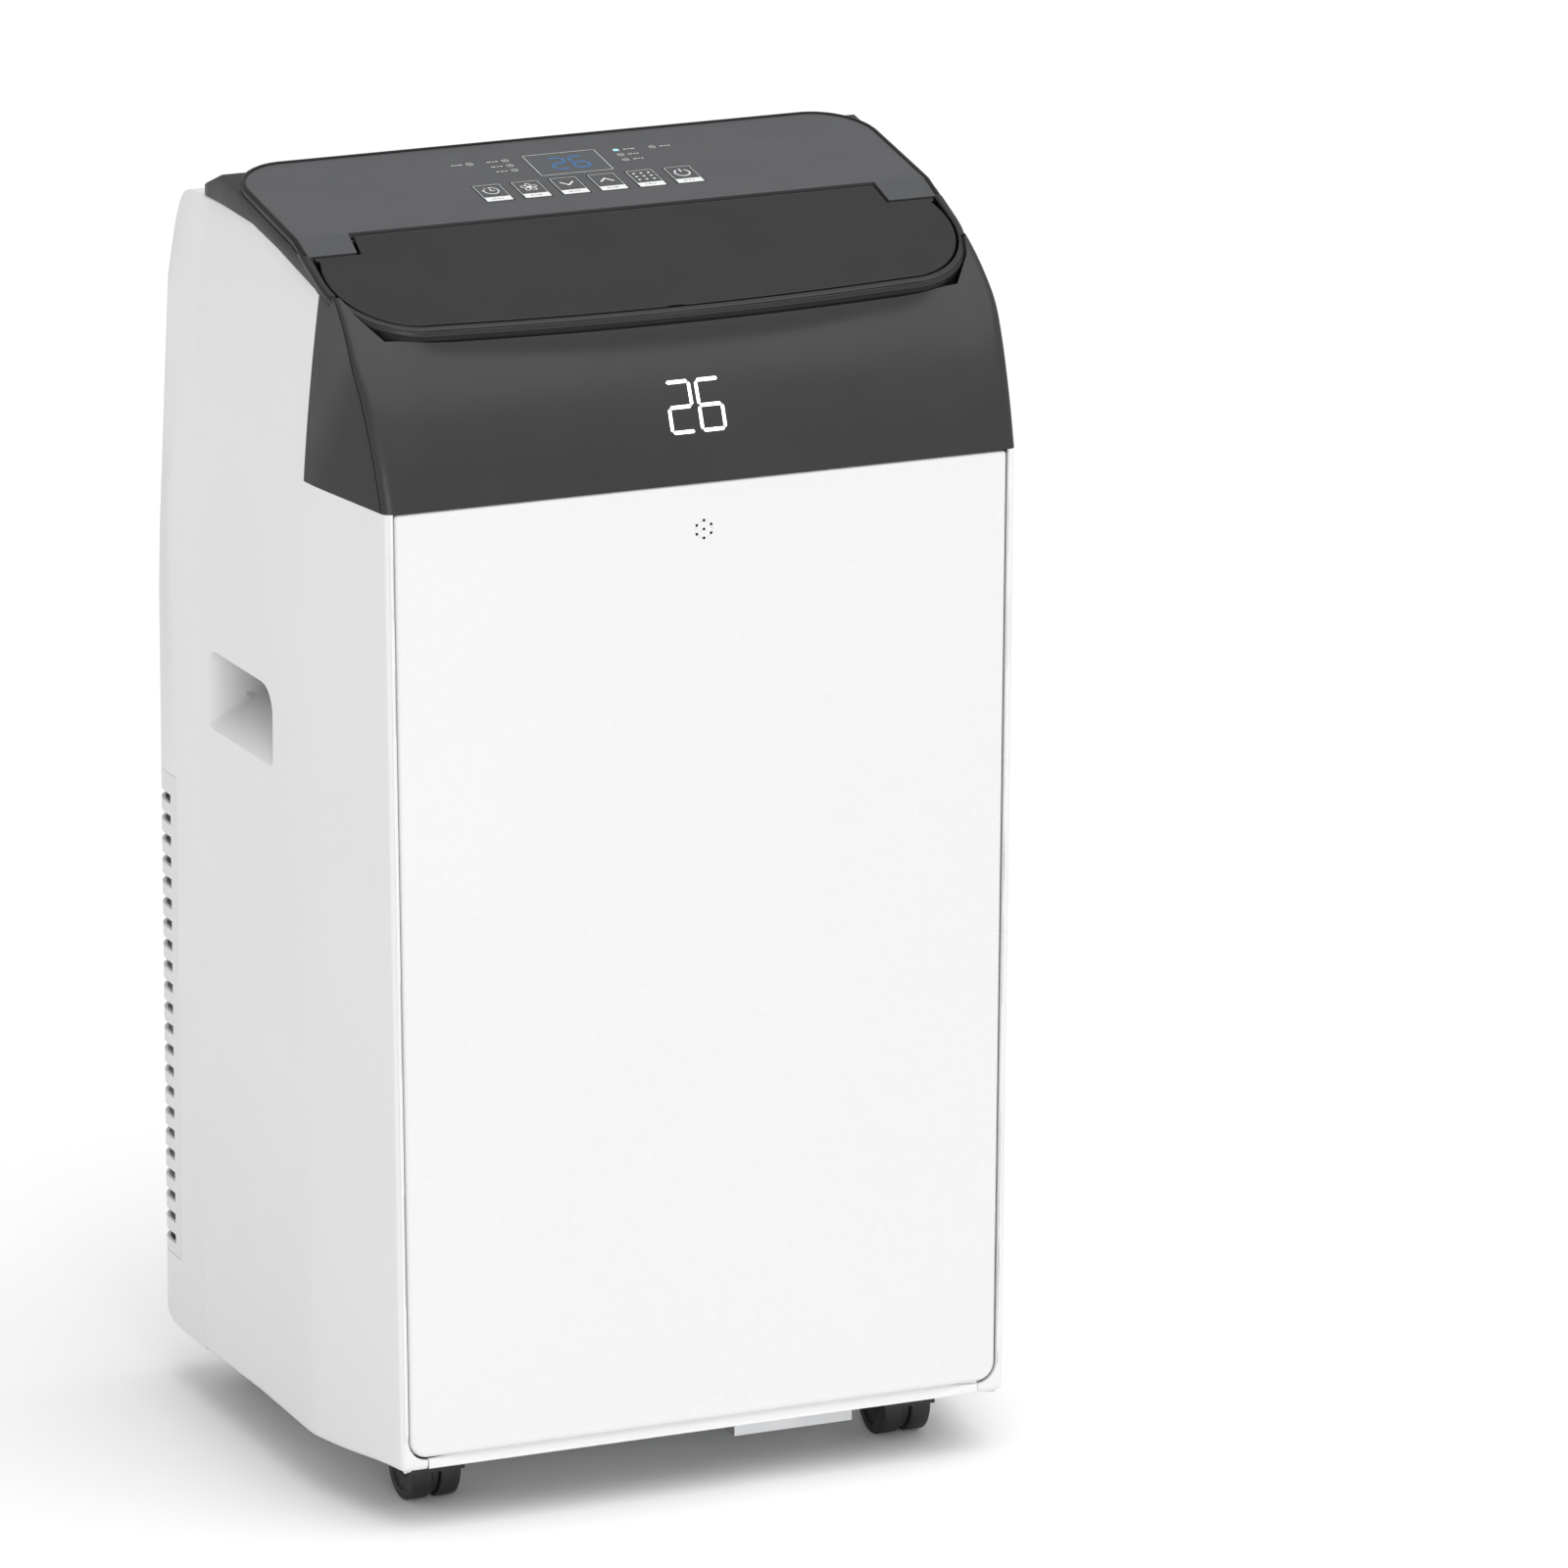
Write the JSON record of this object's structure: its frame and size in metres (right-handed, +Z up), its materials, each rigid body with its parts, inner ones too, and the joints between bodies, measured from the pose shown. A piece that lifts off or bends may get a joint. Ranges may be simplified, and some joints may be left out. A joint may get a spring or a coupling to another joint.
{
  "type": "portable air conditioner",
  "caption": "Upright portable air conditioner with dark upper cover, lit digits, sloping key plate, hinged outlet flap, handle recesses, rear grilles, hose port and swivel casters.",
  "frame": {"origin": "on the floor, under the middle of the body", "axes": "front faces -Y, +X to the right of someone facing the front, +Z up"},
  "size_m": [0.465, 0.4, 0.8484],
  "materials": {
    "white_shell": "satin moulded ABS, finely textured",
    "front_white": "smooth satin moulded ABS",
    "cover_dark": "semi-gloss smoked plastic",
    "plate_grey": "satin printed panel",
    "flap_dark": "satin plastic",
    "key_print": "satin with white printed outline, icon and bar",
    "display_lens": "gloss smoked lens with blue digits",
    "led_module": "white lit digits",
    "circuit_board": "solder mask",
    "duct_grey": "satin",
    "inner_white": "satin",
    "foam_white": "matte",
    "fin_aluminium": "pressed fins",
    "motor_steel": "plated steel",
    "compressor_black": "gloss black enamel",
    "copper": "bright copper tube",
    "rubber_black": "matte rubber",
    "rubber_grey": "matte rubber",
    "screw_steel": "zinc plated",
    "caster_black": "satin nylon",
    "caster_tread": "matte tread",
    "float_orange": "matte foam",
    "fan_black": "satin",
    "deck_grey": "satin"
  },
  "bodies": {
    "root": {"base_pan": "deck_grey", "left_side_panel": "white_shell", "right_side_panel": "white_shell", "rear_panel": "white_shell", "lower_rear_grille": "white_shell", "front_panel": "front_white", "front_sill": "white_shell", "upper_front_cover": "cover_dark", "top_cover": "flap_dark", "control_plate": "plate_grey", "panel_display": "display_lens", "control_board": "circuit_board", "front_display": "led_module", "outlet_duct": "duct_grey", "exhaust_port": "white_shell", "mid_deck": "deck_grey", "drip_tray": "foam_white", "evaporator_coil": "fin_aluminium", "condenser_coil": "fin_aluminium", "evaporator_scroll": "foam_white", "condenser_scroll": "inner_white", "exhaust_duct": "inner_white", "evaporator_motor": "motor_steel", "condenser_motor": "motor_steel", "compressor": "compressor_black", "compressor_mounts": "rubber_black", "refrigerant_pipes": "copper", "splash_motor": "motor_steel", "control_box": "inner_white", "cord_gland": "rubber_black", "drain_spout": "inner_white", "screws": "screw_steel"},
    "flap": {"flap": "flap_dark"},
    "vane_1": {"vane_1": "duct_grey"},
    "vane_2": {"vane_2": "duct_grey"},
    "vane_3": {"vane_3": "duct_grey"},
    "vane_4": {"vane_4": "duct_grey"},
    "vane_5": {"vane_5": "duct_grey"},
    "vane_link": {"vane_link": "duct_grey"},
    "key_timer": {"key_timer": "key_print"},
    "key_fan": {"key_fan": "key_print"},
    "key_down": {"key_down": "key_print"},
    "key_up": {"key_up": "key_print"},
    "key_mode": {"key_mode": "key_print"},
    "key_power": {"key_power": "key_print"},
    "evaporator_blower": {"evaporator_blower": "fan_black"},
    "condenser_blower": {"condenser_blower": "fan_black"},
    "splash_wheel": {"splash_wheel": "inner_white"},
    "float": {"float": "float_orange"},
    "filter_cassette": {"filter_cassette": "white_shell"},
    "drain_plug": {"drain_plug": "rubber_grey"},
    "pan_drain_plug": {"pan_drain_plug": "rubber_grey"},
    "caster_fork_fl": {"caster_fork_fl": "caster_black"},
    "caster_wheels_fl": {"caster_wheels_fl": "caster_tread"},
    "caster_fork_fr": {"caster_fork_fr": "caster_black"},
    "caster_wheels_fr": {"caster_wheels_fr": "caster_tread"},
    "caster_fork_rl": {"caster_fork_rl": "caster_black"},
    "caster_wheels_rl": {"caster_wheels_rl": "caster_tread"},
    "caster_fork_rr": {"caster_fork_rr": "caster_black"},
    "caster_wheels_rr": {"caster_wheels_rr": "caster_tread"}
  },
  "joints": [
    {"name": "flap_hinge", "type": "hinge", "parent": "root", "child": "flap", "pos_m": [0, -0.06215, 0.81988], "axis": [-1, 0, 0], "range_deg": [0, 65]},
    {"name": "vane_1_pivot", "type": "hinge", "parent": "root", "child": "vane_1", "pos_m": [-0.124, -0.111, 0.74], "axis": [0, 1, 0], "range_deg": [-30, 30]},
    {"name": "vane_2_pivot", "type": "hinge", "parent": "root", "child": "vane_2", "pos_m": [-0.062, -0.111, 0.74], "axis": [0, 1, 0], "range_deg": [-30, 30]},
    {"name": "vane_3_pivot", "type": "hinge", "parent": "root", "child": "vane_3", "pos_m": [0, -0.111, 0.74], "axis": [0, 1, 0], "range_deg": [-30, 30]},
    {"name": "vane_4_pivot", "type": "hinge", "parent": "root", "child": "vane_4", "pos_m": [0.062, -0.111, 0.74], "axis": [0, 1, 0], "range_deg": [-30, 30]},
    {"name": "vane_5_pivot", "type": "hinge", "parent": "root", "child": "vane_5", "pos_m": [0.124, -0.111, 0.74], "axis": [0, 1, 0], "range_deg": [-30, 30]},
    {"name": "vane_link_pivot", "type": "hinge", "parent": "vane_1", "child": "vane_link", "pos_m": [-0.124, -0.079, 0.718], "axis": [0, 1, 0], "range_deg": [-30, 30]},
    {"name": "key_timer_press", "type": "slide", "parent": "root", "child": "key_timer", "axis": [0, 0.1977, -0.9803], "range_m": [0, 0.0006], "stiffness_N_per_m": 600, "springref_m": -0.0003},
    {"name": "key_fan_press", "type": "slide", "parent": "root", "child": "key_fan", "axis": [0, 0.1977, -0.9803], "range_m": [0, 0.0006], "stiffness_N_per_m": 600, "springref_m": -0.0003},
    {"name": "key_down_press", "type": "slide", "parent": "root", "child": "key_down", "axis": [0, 0.1977, -0.9803], "range_m": [0, 0.0006], "stiffness_N_per_m": 600, "springref_m": -0.0003},
    {"name": "key_up_press", "type": "slide", "parent": "root", "child": "key_up", "axis": [0, 0.1977, -0.9803], "range_m": [0, 0.0006], "stiffness_N_per_m": 600, "springref_m": -0.0003},
    {"name": "key_mode_press", "type": "slide", "parent": "root", "child": "key_mode", "axis": [0, 0.1977, -0.9803], "range_m": [0, 0.0006], "stiffness_N_per_m": 600, "springref_m": -0.0003},
    {"name": "key_power_press", "type": "slide", "parent": "root", "child": "key_power", "axis": [0, 0.1977, -0.9803], "range_m": [0, 0.0006], "stiffness_N_per_m": 600, "springref_m": -0.0003},
    {"name": "evaporator_blower_spin", "type": "hinge", "parent": "root", "child": "evaporator_blower", "pos_m": [0, 0, 0.565], "axis": [0, 1, 0], "continuous": true},
    {"name": "condenser_blower_spin", "type": "hinge", "parent": "root", "child": "condenser_blower", "pos_m": [0, 0, 0.178], "axis": [0, 1, 0], "continuous": true},
    {"name": "splash_wheel_spin", "type": "hinge", "parent": "root", "child": "splash_wheel", "pos_m": [0.128, 0, 0.092], "axis": [0, 1, 0], "continuous": true},
    {"name": "float_rise", "type": "slide", "parent": "root", "child": "float", "axis": [0, 0, 1], "range_m": [0, 0.01]},
    {"name": "filter_pull", "type": "slide", "parent": "root", "child": "filter_cassette", "axis": [0, 0.9911, 0.1334], "range_m": [0, 0.06]},
    {"name": "drain_plug_pull", "type": "slide", "parent": "root", "child": "drain_plug", "axis": [0, 1, 0], "range_m": [0, 0.025]},
    {"name": "pan_drain_plug_pull", "type": "slide", "parent": "root", "child": "pan_drain_plug", "axis": [0, 1, 0], "range_m": [0, 0.025]},
    {"name": "caster_fl_swivel", "type": "hinge", "parent": "root", "child": "caster_fork_fl", "pos_m": [-0.168, -0.137, 0.06], "axis": [0, 0, 1], "continuous": true},
    {"name": "caster_fl_roll", "type": "hinge", "parent": "caster_fork_fl", "child": "caster_wheels_fl", "pos_m": [-0.168, -0.129, 0.0215], "axis": [1, 0, 0], "continuous": true},
    {"name": "caster_fr_swivel", "type": "hinge", "parent": "root", "child": "caster_fork_fr", "pos_m": [0.168, -0.137, 0.06], "axis": [0, 0, 1], "continuous": true},
    {"name": "caster_fr_roll", "type": "hinge", "parent": "caster_fork_fr", "child": "caster_wheels_fr", "pos_m": [0.168, -0.129, 0.0215], "axis": [1, 0, 0], "continuous": true},
    {"name": "caster_rl_swivel", "type": "hinge", "parent": "root", "child": "caster_fork_rl", "pos_m": [-0.156, 0.137, 0.06], "axis": [0, 0, 1], "continuous": true},
    {"name": "caster_rl_roll", "type": "hinge", "parent": "caster_fork_rl", "child": "caster_wheels_rl", "pos_m": [-0.156, 0.145, 0.0215], "axis": [1, 0, 0], "continuous": true},
    {"name": "caster_rr_swivel", "type": "hinge", "parent": "root", "child": "caster_fork_rr", "pos_m": [0.156, 0.137, 0.06], "axis": [0, 0, 1], "continuous": true},
    {"name": "caster_rr_roll", "type": "hinge", "parent": "caster_fork_rr", "child": "caster_wheels_rr", "pos_m": [0.156, 0.145, 0.0215], "axis": [1, 0, 0], "continuous": true}
  ],
  "couplings": [
    {"joint": "vane_2_pivot", "follows": "vane_1_pivot", "ratio": 1},
    {"joint": "vane_3_pivot", "follows": "vane_1_pivot", "ratio": 1},
    {"joint": "vane_4_pivot", "follows": "vane_1_pivot", "ratio": 1},
    {"joint": "vane_5_pivot", "follows": "vane_1_pivot", "ratio": 1},
    {"joint": "vane_link_pivot", "follows": "vane_1_pivot", "ratio": -1}
  ]
}
